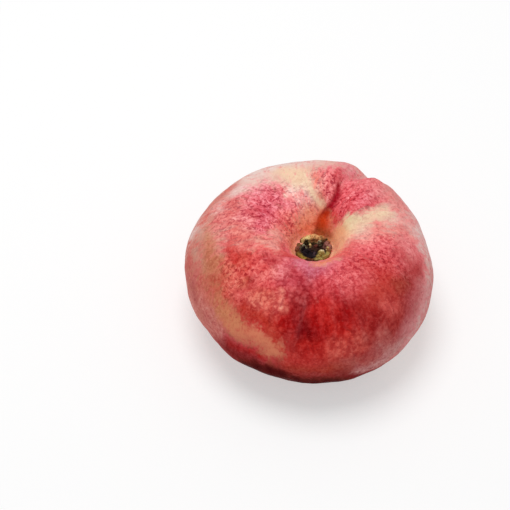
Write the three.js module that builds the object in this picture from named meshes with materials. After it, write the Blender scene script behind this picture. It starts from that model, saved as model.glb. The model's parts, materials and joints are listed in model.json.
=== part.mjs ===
// A flat peach as picked, lying on its blossom end with the stem cavity up.
// Millimetres. +Z runs up the core of the fruit, and the seam leaves the cavity between +Y and +X.
// The origin is on the resting surface, under the middle of the fruit's box.
import * as THREE from "three";

// Driving dimensions of the fruit.
const CHEEK_RADIUS = 34; // the fruit is about twice this wide
const HEIGHT = 35; // from the resting ring to the crest of the shoulders
const WAIST_HEIGHT = 16.5; // where the fruit is widest
const CREST_RADIUS = 16.5; // circle of the highest points, round the cavity
const FLOOR_HEIGHT = 26.5; // height of the cavity's floor, which carries the stem remnant
const FLOOR_RADIUS = 5.3;
const REST_INNER = 9; // the flat ring that the fruit rests on
const REST_OUTER = 13;
const BASIN_DEPTH = 3.2; // hollow at the blossom end
const BULGE = 0.56; // handle length of each quarter of the outline, where an ellipse has 0.552
// Handles of the other curves, as shares of the radius or height that they stand by.
const BASIN_HANDLE = 0.4;
const RING_HANDLE = 0.6;
const CREST_HANDLE = 0.62;
const FUNNEL_HANDLE = 1.35;
const FUNNEL_SHARE = 0.6; // of the way from the cavity's floor up to the crest

// How the plan departs from a circle, as shares of the radius at some waves a turn.
const PLAN_WAVES = [
  { waves: 1, share: 0.035, peak: 153 },
  { waves: 2, share: 0.02, peak: -46 },
];
// How the crest rises and falls round the fruit, as shares of the height.
const CREST_WAVES = [
  { waves: 2, share: 0.027, peak: 63 },
  { waves: 3, share: 0.027, peak: 68 },
];

// The seam: a valley between two raised lips, from the cavity over the shoulder, running out
// below the waist. Bearings are degrees from +X towards +Y.
const SEAM_BEARING_AT_CORE = 67;
const SEAM_BEARING_AT_CHEEK = 58;
const SEAM_HALF_WIDTH = 3.2;
const SEAM_DEPTH = 2.8; // at the crest
const SEAM_SHARE_AT_WAIST = 0.2; // how much of that depth is left at the waist
const LIP_HEIGHT = 0.55;
const LIP_DISTANCE = 6; // from the seam to the top of each lip

// The dry remnant of the stem: a low torn collar round a pit.
const REMNANT_RADIUS = 4.6;
const REMNANT_HEIGHT = 1.9;
const BRIM_RADIUS = 3.3;
const PIT_RADIUS = 2.1;
const PIT_DEPTH = 1.3;
const RAGGED_WAVES = [
  { waves: 3, share: 0.03, peak: 40 },
  { waves: 5, share: 0.025, peak: -15 },
  { waves: 8, share: 0.02, peak: 100 },
];
const RAGGED_RISE = 4; // the collar's top is this many times as uneven as its outline
const COLLAR_SHARE = 0.6; // of the remnant's height, where its side starts to round over
const SEAT_GAP = 0.3; // clearance between two neighbouring solids

const SEGMENTS = 96; // faces round the fruit
const REMNANT_SEGMENTS = 32;
const TURN = 2 * Math.PI;
const radians = THREE.MathUtils.degToRad;
const smooth = THREE.MathUtils.smoothstep;
const between = THREE.MathUtils.lerp;

// Half of the fruit's section, from the blossom end, round the shoulder and down into the stem
// cavity. Each stretch is one curve with its own number of steps.
function fruitProfile() {
  const point = (r, z) => new THREE.Vector2(r, z);
  const basin = point(0, BASIN_DEPTH);
  const ringInside = point(REST_INNER, 0);
  const ringOutside = point(REST_OUTER, 0);
  const waist = point(CHEEK_RADIUS, WAIST_HEIGHT);
  const crest = point(CREST_RADIUS, HEIGHT);
  const floorEdge = point(FLOOR_RADIUS, FLOOR_HEIGHT);
  const floorMiddle = point(0, FLOOR_HEIGHT);
  const stretches = [
    [basin, point(REST_INNER * BASIN_HANDLE, BASIN_DEPTH), point(REST_INNER * RING_HANDLE, 0), ringInside, 4],
    [ringInside, ringInside, ringOutside, ringOutside, 1],
    [
      ringOutside,
      point(between(REST_OUTER, CHEEK_RADIUS, BULGE), 0),
      point(CHEEK_RADIUS, between(WAIST_HEIGHT, 0, BULGE)),
      waist,
      10,
    ],
    [
      waist,
      point(CHEEK_RADIUS, between(WAIST_HEIGHT, HEIGHT, BULGE)),
      point(between(CREST_RADIUS, CHEEK_RADIUS, BULGE), HEIGHT),
      crest,
      12,
    ],
    [
      crest,
      point(CREST_RADIUS * CREST_HANDLE, HEIGHT),
      point(FLOOR_RADIUS * FUNNEL_HANDLE, between(FLOOR_HEIGHT, HEIGHT, FUNNEL_SHARE)),
      floorEdge,
      10,
    ],
    [floorEdge, floorEdge, floorMiddle, floorMiddle, 3],
  ];
  const profile = [basin];
  for (const [from, handleA, handleB, to, steps] of stretches) {
    const curve = new THREE.CubicBezierCurve(from, handleA, handleB, to);
    profile.push(...curve.getPoints(steps).slice(1));
  }
  return profile;
}

// The sum of some waves round the core at an angle, as a share.
function waveSum(waves, angle) {
  const terms = waves.map(({ waves: n, share, peak }) => share * Math.cos(n * (angle - radians(peak))));
  return terms.reduce((sum, term) => sum + term, 0);
}

// How deep the seam is pressed in at a place on the section and an angle round the core. It is
// less than zero on the lips.
function seamDepth(radius, height, angle) {
  const bearing = between(SEAM_BEARING_AT_CORE, SEAM_BEARING_AT_CHEEK, radius / CHEEK_RADIUS);
  const turned = angle - radians(bearing);
  if (Math.cos(turned) <= 0 || height <= BASIN_DEPTH) return 0;
  const ridge = (distance) => Math.exp(-((distance / SEAM_HALF_WIDTH) ** 2));
  const across = radius * Math.sin(turned);
  const inCavity = smooth(height, FLOOR_HEIGHT, HEIGHT);
  const onCheek =
    between(SEAM_SHARE_AT_WAIST, 1, smooth(height, WAIST_HEIGHT, HEIGHT)) * smooth(height, 0, WAIST_HEIGHT);
  const strength = radius < CREST_RADIUS ? inCavity : onCheek;
  return strength * (SEAM_DEPTH * ridge(across) - LIP_HEIGHT * ridge(Math.abs(across) - LIP_DISTANCE));
}

// Turns a lathe about Y into a solid about Z and moves each of its points by a rule.
function shapeLathe(profile, segments, rule) {
  const geometry = new THREE.LatheGeometry(profile, segments);
  const position = geometry.getAttribute("position");
  for (let i = 0; i < position.count; i += 1) {
    const step = Math.floor(i / profile.length) % segments;
    const angle = (TURN * step) / segments;
    const { x: radius, y: height } = profile[i % profile.length];
    const [r, z] = rule(radius, height, angle);
    position.setXYZ(i, r * Math.cos(angle), r * Math.sin(angle), z);
  }
  geometry.computeVertexNormals();
  return geometry;
}

function fruitRule(radius, height, angle) {
  const reach = radius / CHEEK_RADIUS;
  const rise = (height / HEIGHT) * smooth(radius, FLOOR_RADIUS, CREST_RADIUS);
  const r = radius * (1 + waveSum(PLAN_WAVES, angle) * reach);
  const z = height * (1 + waveSum(CREST_WAVES, angle) * rise);
  // The seam is pressed in towards the circle that runs round inside the flesh.
  const depth = seamDepth(radius, height, angle);
  const out = new THREE.Vector2(r - CREST_RADIUS, z - WAIST_HEIGHT).normalize();
  return [r - depth * Math.max(out.x, 0), z - depth * Math.max(out.y, 0)];
}

function fruit() {
  const skin = new THREE.MeshStandardMaterial({ color: 0xcf5a58, roughness: 0.75, metalness: 0 });
  const mesh = new THREE.Mesh(shapeLathe(fruitProfile(), SEGMENTS, fruitRule), skin);
  mesh.name = "fruit";
  return mesh;
}

function remnantRule(radius, height, angle) {
  const ragged = (waveSum(RAGGED_WAVES, angle) * radius) / REMNANT_RADIUS;
  const rise = height / REMNANT_HEIGHT;
  return [radius * (1 + ragged), height * (1 + RAGGED_RISE * ragged * rise)];
}

function stemRemnant() {
  const pitFloor = REMNANT_HEIGHT - PIT_DEPTH;
  const sideHeight = REMNANT_HEIGHT * COLLAR_SHARE;
  const profile = new THREE.Path()
    .moveTo(0, 0)
    .lineTo(REMNANT_RADIUS, 0)
    .bezierCurveTo(REMNANT_RADIUS, sideHeight, REMNANT_RADIUS, REMNANT_HEIGHT, BRIM_RADIUS, REMNANT_HEIGHT)
    .bezierCurveTo(PIT_RADIUS, REMNANT_HEIGHT, PIT_RADIUS, pitFloor, PIT_RADIUS / 2, pitFloor)
    .lineTo(0, pitFloor)
    .getPoints(5);
  const wood = new THREE.MeshStandardMaterial({ color: 0x7a6332, roughness: 0.9, metalness: 0 });
  const mesh = new THREE.Mesh(shapeLathe(profile, REMNANT_SEGMENTS, remnantRule), wood);
  mesh.name = "stem_remnant";
  mesh.position.z = FLOOR_HEIGHT + SEAT_GAP;
  return mesh;
}

// The core stands off the middle of the fruit, so the whole is moved until its box is centred.
const peach = new THREE.Group();
peach.add(fruit(), stemRemnant());
const middle = new THREE.Box3().setFromObject(peach).getCenter(new THREE.Vector3());
peach.position.set(-middle.x, -middle.y, 0);

export default peach;
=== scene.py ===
# %% [markdown]
# # A flat peach
# A flat peach is one fruit: a thick ring of flesh under a velvety skin, with a deep cavity where
# it hung from the twig. The measured solids come first, as a fixed frame. Everything after that
# gives the fruit its fine form, its painted skin and the torn woody tissue in the cavity.

# %% Load the measured model
import json
import math

import bpy
import numpy as np
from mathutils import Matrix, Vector, noise

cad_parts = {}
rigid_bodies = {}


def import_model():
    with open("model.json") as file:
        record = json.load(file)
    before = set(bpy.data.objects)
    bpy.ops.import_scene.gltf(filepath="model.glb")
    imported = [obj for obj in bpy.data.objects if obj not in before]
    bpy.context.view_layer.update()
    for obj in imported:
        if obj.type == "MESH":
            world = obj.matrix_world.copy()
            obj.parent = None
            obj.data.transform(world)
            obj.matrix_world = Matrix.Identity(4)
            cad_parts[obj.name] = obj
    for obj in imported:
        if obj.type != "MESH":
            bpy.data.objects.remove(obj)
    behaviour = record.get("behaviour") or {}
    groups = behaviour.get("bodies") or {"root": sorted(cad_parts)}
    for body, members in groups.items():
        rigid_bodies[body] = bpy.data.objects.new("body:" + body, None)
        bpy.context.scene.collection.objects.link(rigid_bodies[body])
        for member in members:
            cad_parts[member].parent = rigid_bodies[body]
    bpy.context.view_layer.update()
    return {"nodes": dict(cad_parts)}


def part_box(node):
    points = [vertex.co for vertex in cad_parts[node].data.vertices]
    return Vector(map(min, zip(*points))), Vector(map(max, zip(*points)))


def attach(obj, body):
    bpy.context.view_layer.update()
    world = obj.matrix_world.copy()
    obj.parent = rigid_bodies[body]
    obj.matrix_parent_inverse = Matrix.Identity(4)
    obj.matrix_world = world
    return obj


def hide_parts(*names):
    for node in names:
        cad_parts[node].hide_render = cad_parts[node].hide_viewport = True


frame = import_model()
MM = 0.001

# %% [markdown]
# ## The core
# Everything on the fruit is placed round its core, the line from the blossom end to the stem. The
# floor of the cavity has one point on that line, and it is the one nearest to the middle of the
# stem remnant.

# %% The core
scar_low, scar_high = (Vector(corner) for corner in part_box("stem_remnant"))
scar_middle = (scar_low + scar_high) / 2
upper_points = [v.co for v in frame["nodes"]["fruit"].data.vertices if v.co.z > scar_low.z / 2]
core = min(upper_points, key=lambda place: (place.xy - scar_middle.xy).length).copy()
print("core in mm:", [round(value / MM, 2) for value in core])

# %% [markdown]
# ## Camera
# The fruit lies on its blossom end, and the stem cavity is its best side. A camera that looks
# down steeply shows the cavity, the seam over the shoulder and the belly at once. A long lens from
# an arm's length away keeps the round form free of distortion. The fruit stands to the right of
# the picture's middle, so the camera aims a little beside it.

# %% Camera
CAMERA_ELEVATION = math.radians(52)
CAMERA_DISTANCE = 0.42
PICTURE_WIDTH = 0.1395  # what the picture takes in at that distance
SENSOR_WIDTH = 36
AIM_HEIGHT = 0.0175
AIM_RIGHT = -0.0159
AIM_UP = 0.0035

middle = Vector((core.x, core.y, AIM_HEIGHT))
back = Vector((0, -math.cos(CAMERA_ELEVATION), math.sin(CAMERA_ELEVATION)))
up = Vector((0, math.sin(CAMERA_ELEVATION), math.cos(CAMERA_ELEVATION)))
aim = middle + Vector((AIM_RIGHT, 0, 0)) + AIM_UP * up

bpy.ops.object.camera_add(location=middle + CAMERA_DISTANCE * back)
camera = bpy.context.active_object
camera.rotation_euler = (aim - camera.location).to_track_quat("-Z", "Y").to_euler()
camera.data.sensor_width = SENSOR_WIDTH
camera.data.lens = SENSOR_WIDTH * CAMERA_DISTANCE / PICTURE_WIDTH
camera.data.clip_start = 0.01
bpy.context.scene.camera = camera
print("lens in mm:", round(camera.data.lens, 1))

# %% [markdown]
# ## Shader tools
# A finish is a tree of nodes, which is hard to read as a list of links. A small class wraps the
# output of a node, so that masks are written as plain arithmetic. A second class holds the tree and
# adds any other node: its settings first, and then the values or links of its sockets. A third one
# is a material.

# %% A number that varies over a surface
class Value:
    """The output socket of a node. Arithmetic on it adds Math nodes."""

    def __init__(self, nodes, socket):
        self.nodes = nodes
        self.socket = socket

    def __add__(self, other):
        return self.nodes.math("ADD", self, other)

    def __sub__(self, other):
        return self.nodes.math("SUBTRACT", self, other)

    def __rsub__(self, other):
        return self.nodes.math("SUBTRACT", other, self)

    def __mul__(self, other):
        return self.nodes.math("MULTIPLY", self, other)

    __radd__ = __add__
    __rmul__ = __mul__


print("values can be added, subtracted and multiplied")

# %% Nodes and finishes
WHITE = (1, 1, 1, 1)


class Nodes:
    """A tree of nodes, built from expressions."""

    def __init__(self, tree):
        self.tree = tree

    def link(self, value, socket):
        """Sets a socket to a value, or links it to the node that a Value comes from."""
        if isinstance(value, Value):
            self.tree.links.new(value.socket, socket)
        else:
            socket.default_value = value

    def node(self, kind, settings, inputs, output=0):
        """Adds a node of any type: first its settings, then its sockets by name or number."""
        node = self.tree.nodes.new("ShaderNode" + kind)
        for name, setting in settings.items():
            setattr(node, name, setting)
        for key, value in inputs.items():
            self.link(value, node.inputs[key])
        return Value(self, node.outputs[output])

    def math(self, operation, *values):
        return self.node("Math", {"operation": operation}, dict(enumerate(values)))

    def looked_at(self):
        """1 for what is seen, straight or through gloss and glass, and 0 for what only gives light."""
        camera_ray = self.node("LightPath", {}, {}, "Is Camera Ray")
        glossy_ray = self.node("LightPath", {}, {}, "Is Glossy Ray")
        glass_ray = self.node("LightPath", {}, {}, "Is Transmission Ray")
        return self.math("MINIMUM", camera_ray + glossy_ray + glass_ray, 1)


class Finish(Nodes):
    """A procedural material with one Principled shader."""

    def __init__(self, name):
        self.material = bpy.data.materials.new(name)
        self.material.use_nodes = True
        super().__init__(self.material.node_tree)
        self.shader = self.tree.nodes["Principled BSDF"]

    def give(self, name, value):
        """Sets or links a socket of the shader."""
        self.link(value, self.shader.inputs[name])

    def mix(self, share, low, high):
        """Mixes two colours by a share."""
        return self.node("Mix", {"data_type": "RGBA"}, {0: share, 6: low, 7: high}, output=2)

    def scale(self, triple, factors, shift=(0, 0, 0)):
        """Multiplies a colour or a place, number by number, and then adds to it."""
        inputs = {0: triple, 1: factors, 2: shift}
        return self.node("VectorMath", {"operation": "MULTIPLY_ADD"}, inputs)

    def fade(self, value, low, high):
        """Goes smoothly from 0 to 1 as a value goes from low to high."""
        inputs = {"Value": value, "From Min": low, "From Max": high}
        return self.node("MapRange", {"interpolation_type": "SMOOTHSTEP"}, inputs)

    def attribute(self, name, output="Fac"):
        return self.node("Attribute", {"attribute_name": name}, {}, output)

    def here(self):
        """The place on the piece, in metres."""
        return self.node("TexCoord", {}, {}, "Object")

    def noise(self, vector, size, detail=2.0, roughness=0.5, distortion=0.0):
        """Soft noise from 0 to 1 whose blots are about as big as the given size in metres."""
        inputs = {"Vector": vector, "Scale": 1 / size, "Detail": detail, "Roughness": roughness}
        inputs["Distortion"] = distortion
        return self.node("TexNoise", {}, inputs)

    def bump(self, height, strength, distance):
        """Raises the surface by a height, for the light only."""
        inputs = {"Height": height, "Strength": strength, "Distance": distance}
        self.give("Normal", self.node("Bump", {}, inputs))

    def wear(self, piece):
        """Puts the material on a piece in place of all others."""
        piece.data.materials.clear()
        piece.data.materials.append(self.material)


print("shader tools are ready")

# %% [markdown]
# ## Light
# The fruit is put on white card under one big soft lamp, as for a catalogue, and the white room
# fills the shade. The lamp hangs high, so that light falls into the stem cavity. The two together
# come to a plain level: a matt surface that faces up shows about its own colour. The room is seen
# as white, but it lights the fruit more weakly than that.

# %% Room light and lamp
ROOM_LIGHT = 0.45
LAMP_SIZE = 0.4
LAMP_POWER = 2.6
LAMP_PLACE = Vector((-0.08, 0.10, 0.68))

world = bpy.data.worlds.new("white_room")
world.use_nodes = True
room = Nodes(world.node_tree)
room_light = room.node("Background", {}, {"Color": WHITE, "Strength": ROOM_LIGHT})
room_seen = room.node("Background", {}, {"Color": WHITE, "Strength": 1})
room_choice = room.node("MixShader", {}, {0: room.looked_at(), 1: room_light, 2: room_seen})
room.link(room_choice, room.tree.nodes["World Output"].inputs["Surface"])
bpy.context.scene.world = world
bpy.context.scene.view_settings.view_transform = "Standard"

bpy.ops.object.light_add(type="AREA", location=LAMP_PLACE)
lamp = bpy.context.active_object
lamp.data.shape = "DISK"
lamp.data.size = LAMP_SIZE
lamp.data.energy = LAMP_POWER
lamp.rotation_euler = (middle - LAMP_PLACE).to_track_quat("-Z", "Y").to_euler()
print("lamp above the table in m:", round(LAMP_PLACE.z, 2))

# %% [markdown]
# ## Table
# White card that fades into the room. Card reflects about four fifths of the light, so beside a
# white room it would look grey. What is looked at is a darker card with a glow on top, which
# together come to white and keep a soft shadow. All other light meets plain card.

# %% Table
CARD_SIZE = 6
CARD_WHITE = (0.8, 0.8, 0.8, 1)
SEEN_WHITE = (0.56, 0.56, 0.56, 1)
CARD_GLOW = 0.46
CARD_FADE = (1.2, 0.5)  # distances from the fruit where the card is gone and where it is whole

bpy.ops.mesh.primitive_plane_add(size=CARD_SIZE, location=(0, 0, 0))
table = bpy.context.active_object
table.name = "white_card"
card = Finish("white_card")
looked_at = card.looked_at()
away = card.node("VectorMath", {"operation": "LENGTH"}, {0: card.here()}, "Value")
card.give("Base Color", card.mix(looked_at, CARD_WHITE, SEEN_WHITE))
card.give("Roughness", 1)
card.give("Specular IOR Level", 0)
card.give("Emission Color", WHITE)
card.give("Emission Strength", looked_at * CARD_GLOW)
card.give("Alpha", card.fade(away, *CARD_FADE))
card.wear(table)
print("the table glows by", CARD_GLOW)

# %% [markdown]
# ## Tools for a mesh
# Blender's operators act on what is selected, and a new primitive or a freshly loaded model is
# selected all over. So each step starts by choosing what it works on. The most used step is a soft
# press: some points go in along their normals, and their surroundings follow.

# %% Choose and press
SELECT_MODES = {"vertices": "VERT", "edges": "EDGE", "polygons": "FACE"}
SOFTLY = {"use_proportional_edit": True, "proportional_edit_falloff": "SMOOTH"}


def select_only(*pieces):
    """Makes pieces the only selected ones, and the first of them active."""
    bpy.ops.object.select_all(action="DESELECT")
    for piece in pieces:
        piece.select_set(True)
    bpy.context.view_layer.objects.active = pieces[0]


def places(piece):
    """The points of a piece's mesh as rows of x, y and z."""
    flat = np.empty(len(piece.data.vertices) * 3)
    piece.data.vertices.foreach_get("co", flat)
    return flat.reshape(-1, 3)


def edit_only(piece, kind, chosen):
    """Opens a piece in edit mode with only the chosen vertices, edges or polygons selected."""
    select_only(piece)
    bpy.ops.object.mode_set(mode="EDIT")
    bpy.ops.mesh.select_mode(type=SELECT_MODES[kind])
    bpy.ops.mesh.select_all(action="DESELECT")
    bpy.ops.object.mode_set(mode="OBJECT")
    getattr(piece.data, kind).foreach_set("select", chosen)
    bpy.ops.object.mode_set(mode="EDIT")


def press(piece, chosen, depth, reach):
    """Presses the chosen points in along their normals, and their surroundings softly with them."""
    edit_only(piece, "vertices", chosen)
    bpy.ops.transform.shrink_fatten(value=-depth, proportional_size=reach, **SOFTLY)
    bpy.ops.object.mode_set(mode="OBJECT")


def distance_to(stops, points):
    """How far each point is from the nearest of some stops."""
    nearest = np.full(len(points), np.inf)
    for stop in stops:
        offset = points - stop
        nearest = np.minimum(nearest, np.einsum("ij,ij->i", offset, offset))
    return np.sqrt(nearest)


def modify(piece, kind, **settings):
    """Adds a modifier with some settings to a piece and applies it."""
    modifier = piece.modifiers.new(kind, kind)
    for name, setting in settings.items():
        setattr(modifier, name, setting)
    select_only(piece)
    bpy.ops.object.modifier_apply(modifier=kind)


def lumpy(piece, size, strength, detail=1, group=""):
    """Raises and sinks a piece's surface by soft noise, on a group of its points or on all."""
    texture = bpy.data.textures.new(f"{piece.name}_lumps", type="CLOUDS")
    texture.noise_scale = size
    texture.noise_depth = detail
    modify(piece, "DISPLACE", texture=texture, strength=strength, mid_level=0.5, vertex_group=group)


def join(pieces):
    """Joins pieces into the first one and puts its place into its mesh."""
    select_only(*pieces)
    bpy.ops.object.join()
    bpy.ops.object.transform_apply(location=True, rotation=True, scale=True)


print("mesh tools are ready")

# %% [markdown]
# ## Body of the fruit
# The measured solid is made of flat facets. Its copy is the start of the fruit's visible skin. Its
# loose triangles are merged and paired to quads, and two rounds of subdivision give points about
# half a millimetre apart. That is fine enough to model the creases and to paint on.

# %% Fruit body
source = frame["nodes"]["fruit"]
body = bpy.data.objects.new("peach_body", source.data.copy())
bpy.context.scene.collection.objects.link(body)
select_only(body)
bpy.ops.object.mode_set(mode="EDIT")
bpy.ops.mesh.select_all(action="SELECT")
bpy.ops.mesh.remove_doubles(threshold=1e-6)
bpy.ops.mesh.tris_convert_to_quads()
bpy.ops.object.mode_set(mode="OBJECT")
modify(body, "SUBSURF", levels=2, render_levels=2)
print("faces of the body:", len(body.data.polygons))

# %% [markdown]
# ## Places on the skin
# A place on the fruit is easiest to say with two angles. The bearing goes round the core, from the
# right towards the back. The tilt goes round the section of the thick ring: 0 is the waist, 90 the
# crest, and past 120 the wall of the cavity. A ray from inside the flesh finds the skin there.

# %% Bearing and tilt
RING_RADIUS = 16.5 * MM  # a circle inside the flesh, halfway up, which the section turns about
RING_HEIGHT = 16.5 * MM
CHEEK_RADIUS = 34 * MM
STOP_ANGLE = 3  # degrees between two stops along a route


def section(points):
    """The radius from the core, the bearing round it and the tilt round the section, in degrees."""
    x = points[:, 0] - core.x
    y = points[:, 1] - core.y
    radius = np.hypot(x, y)
    bearing = np.degrees(np.arctan2(y, x))
    tilt = np.degrees(np.arctan2(points[:, 2] - RING_HEIGHT, radius - RING_RADIUS))
    return radius, bearing, tilt


def turned(bearing, start):
    """How far one bearing is from another, the short way round, in degrees."""
    return (bearing - start + 180) % 360 - 180


def skin_place(bearing, tilt):
    """The place on the skin at a bearing and a tilt, in degrees."""
    turn = math.radians(bearing)
    lean = math.radians(tilt)
    outward = Vector((math.cos(turn), math.sin(turn), 0))
    start = Vector((core.x, core.y, RING_HEIGHT)) + RING_RADIUS * outward
    ray = math.cos(lean) * outward + Vector((0, 0, math.sin(lean)))
    return body.ray_cast(start, ray)[1]


def stops_along(route, place):
    """Closely spaced stops along a route, whose corners are pairs that a function turns into places."""
    stops = [place(*route[0])]
    for (a, b), (c, d) in zip(route, route[1:]):
        steps = math.ceil(max(abs(c - a), abs(d - b)) / STOP_ANGLE)
        shares = [(step + 1) / steps for step in range(steps)]
        stops += [place(a + share * (c - a), b + share * (d - b)) for share in shares]
    return np.array(stops)


print("the skin at the waist, to the right, in mm:", [round(v / MM, 1) for v in skin_place(0, 0)])

# %% [markdown]
# ## Seam crease
# The measured solid has the broad valley of the seam. On the real fruit a sharp crease runs down
# it, deepest in the cavity and lost over the shoulder. A knife cut would leave hard edges, so the
# crease is pressed in along its line three times, each time shorter, narrower and deeper.

# %% Valleys and seam crease
PRESS_HALF_WIDTH = 0.45 * MM


def valley(route, depth, reach):
    """Presses a valley into the body along a route. Depth and reach are in millimetres."""
    stops = stops_along(route, skin_place)
    press(body, distance_to(stops, places(body)) < PRESS_HALF_WIDTH, depth * MM, reach * MM)


SEAM = [(76, 140), (75, 122), (69, 110), (67, 98), (68, 84), (63, 66), (60, 40), (58, -10)]
valley(SEAM, 0.14, 1.8)
valley(SEAM[:6], 0.20, 1.4)
valley(SEAM[:5], 0.36, 1.1)
print("stops along the seam:", len(stops_along(SEAM, skin_place)))

# %% [markdown]
# ## Folds and puckers
# Where the flesh swelled round the twig, the skin is drawn into folds. A few are broad and can be
# seen from afar: two on the left of the cavity, one down its near side. A ring of fine puckers
# runs down the cavity's wall. All of them are soft presses along a route over the skin, and a
# depth below zero raises a ridge.

# %% Folds
FOLDS = [  # route, depth and reach in mm
    ([(-124, 124), (-131, 114), (-139, 99), (-144, 85), (-151, 70)], 0.34, 1.5),
    ([(-124, 104), (-128, 92), (-129, 78), (-134, 58)], 0.28, 1.7),
    ([(-152, 118), (-150, 104), (-157, 90), (-162, 78)], 0.22, 1.6),
    ([(-96, 94), (-95, 80), (-96, 62)], 0.22, 3.2),
    ([(-38, 112), (-30, 98), (-24, 84)], 0.12, 2.6),
    ([(172, 122), (166, 108)], 0.16, 1.4),
    ([(118, 126), (112, 112)], 0.14, 1.2),
    ([(98, 128), (95, 114)], 0.14, 1.2),
    ([(40, 126), (42, 112)], 0.12, 1.4),
    ([(-122, 127), (-92, 129), (-62, 127)], -0.45, 2.6),
    ([(54, 72), (46, 68), (38, 62)], -0.9, 5.5),
    ([(56, 76), (51, 68)], -0.6, 3.4),
]
for route, depth, reach in FOLDS:
    valley(route, depth, reach)
print("folds pressed in:", len(FOLDS))

# %% Puckers
PUCKERS = 13
WALL_FOOT = 143  # the tilt at which the cavity's wall meets its floor
SPOKE_HALF_WIDTH = 0.2 * MM
rng = np.random.default_rng(7)


def spoke(number, count, wander):
    """Marks the points on one of several thin lines that stand out from the core a little unevenly."""
    line = 360 * number / count + rng.uniform(-wander, wander)
    return np.abs(radius * np.radians(turned(bearing, line))) < SPOKE_HALF_WIDTH


radius, bearing, tilt = section(places(body))
for number in range(PUCKERS):
    on_fold = spoke(number, PUCKERS, 9)
    top = rng.uniform(112, 124)
    on_wall = (tilt > top) & (tilt < WALL_FOOT)
    press(body, on_fold & on_wall, rng.uniform(0.06, 0.16) * MM, 1 * MM)
print("puckers in the cavity:", PUCKERS)

# %% [markdown]
# ## Socket of the stem
# The scar of the stem isn't glued on the skin: it grows out of the flesh. So the floor of the
# cavity is sunk where the scar will stand, and the deepest crevices of the scar stay inside it.

# %% Socket of the stem
SOCKET_RADIUS = 2.6 * MM
SOCKET_DEPTH = 1.9 * MM
SOCKET_REACH = 1.4 * MM
radius, bearing, tilt = section(places(body))
on_top = tilt > 90
press(body, on_top & (radius < SOCKET_RADIUS), SOCKET_DEPTH, SOCKET_REACH)
print("floor of the socket in mm:", round(float(places(body)[on_top][:, 2].min()) / MM, 1))

# %% [markdown]
# ## Blossom end
# Underneath, the flower has left a small hard point in the middle of a shallow basin. It stands in
# a pit a few millimetres wide, and short creases run out from there.

# %% Blossom end
BLOSSOM_CREASES = 7
radius, bearing, tilt = section(places(body))
underneath = tilt < -90
press(body, underneath & (radius < 0.5 * MM), 0.7 * MM, 1.9 * MM)
for number in range(BLOSSOM_CREASES):
    on_crease = spoke(number, BLOSSOM_CREASES, 12)
    reach_out = rng.uniform(3, 6) * MM
    press(body, underneath & on_crease & (radius < reach_out), 0.12 * MM, 0.9 * MM)
press(body, underneath & (radius < 0.3 * MM), -0.35 * MM, 0.7 * MM)
print("creases at the blossom end:", BLOSSOM_CREASES)

# %% [markdown]
# ## Uneven flesh
# A fruit is never quite smooth: it has faint lumps the size of a fingertip, and small dents the
# size of a pinhead. Both are displaced by soft noise. The ring that the fruit rests on is left as
# it is, so that it still lies flat.

# %% Uneven flesh
STILL_BELOW = 0.5 * MM  # heights where the lumps start and where they are whole
LUMPY_ABOVE = 6.5 * MM
LUMP_SIZE = 11 * MM
DENT_SIZE = 2.4 * MM
group = body.vertex_groups.new(name="above_table")
for index, height in enumerate(places(body)[:, 2]):
    share = (height - STILL_BELOW) / (LUMPY_ABOVE - STILL_BELOW)
    group.add([index], min(max(share, 0), 1), "REPLACE")
lumpy(body, LUMP_SIZE, 1.1 * MM, group="above_table")
lumpy(body, DENT_SIZE, 0.16 * MM, group="above_table")
bpy.ops.object.shade_smooth()
print("lumps raised on", len(body.data.vertices), "points")

# %% [markdown]
# ## Painting in strokes
# The colour of a peach is a map of its life on the tree: cream where a leaf lay on it, red where
# the sun reached it. No noise gives that, so it is painted in strokes. A stroke is a route over
# the skin, a width and the tones it leaves. They are kept in layers on the points: the ground
# colour, the blush over it, how far it covers, and how strong each kind of fine marking is. The
# shader makes the fine markings themselves.

# %% Brush
SHAKY_HAND = 5
noise.seed_set(SHAKY_HAND)  # without this, Blender's noise starts from the clock


def tone_value(tone):
    """A tone as its layer keeps it: 0 to 255 steps of a colour become a shader's linear values."""
    if not isinstance(tone, tuple):
        return float(tone)
    steps = np.array(tone) / 255
    return np.where(steps <= 0.04045, steps / 12.92, ((steps + 0.055) / 1.055) ** 2.4)


def shifts(points, size, reach):
    """Small smooth shifts, one for each point, that make an edge wander."""
    return np.array([noise.noise_vector(Vector(point) / size) for point in points]) * reach


def keep_layer(piece, name, kind, key, rows):
    """Keeps a row of numbers for each point on a piece, as an attribute that a shader can read."""
    layer = piece.data.attributes.new(name, kind, "POINT")
    layer.data.foreach_set(key, rows.astype(np.float32).ravel())


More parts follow.
